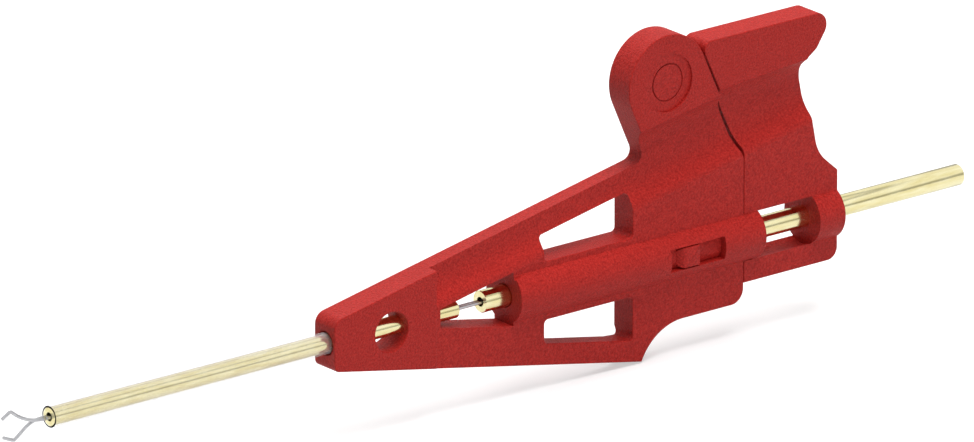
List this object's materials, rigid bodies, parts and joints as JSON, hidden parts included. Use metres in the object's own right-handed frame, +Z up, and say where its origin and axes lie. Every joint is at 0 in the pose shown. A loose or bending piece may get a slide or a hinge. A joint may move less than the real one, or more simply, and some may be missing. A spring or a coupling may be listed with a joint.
{
  "type": "test clip",
  "caption": "Spring-loaded test clip: fine wire hooks in a long thin barrel, a flat red wedge body with an ear, and a thumb wing with a round contact pin.",
  "frame": {"origin": "centre of the barrel's mouth, where the hooks come out", "axes": "+X along the barrel to the contact pin, +Z up towards the ear and the wing, Y across the flat body"},
  "size_m": [0.0441, 0.002, 0.0122],
  "materials": {
    "red_plastic": "fine matt texture, moulded red nylon",
    "gold_plate": "gold plated, polished",
    "clear_sleeve": "clear insulating film",
    "spring_steel": "bright drawn wire",
    "solder": "dull",
    "hook_wire": "bright drawn wire"
  },
  "bodies": {
    "plunger": {"rear_grip": "red_plastic", "contact_pin": "gold_plate", "catch_bush": "red_plastic", "plunger_spring": "spring_steel", "wire_solder": "solder", "upper_hook_wire": "hook_wire", "lower_hook_wire": "hook_wire"},
    "housing": {"front_body": "red_plastic", "barrel_tube": "gold_plate", "barrel_sleeve": "clear_sleeve"}
  },
  "joints": [
    {"name": "housing_slide", "type": "slide", "parent": "plunger", "child": "housing", "axis": [-1, 0, 0], "range_m": [0, 0.00115], "stiffness_N_per_m": 310, "springref_m": 0.0032, "deforming": ["plunger_spring", "upper_hook_wire", "lower_hook_wire"]}
  ]
}
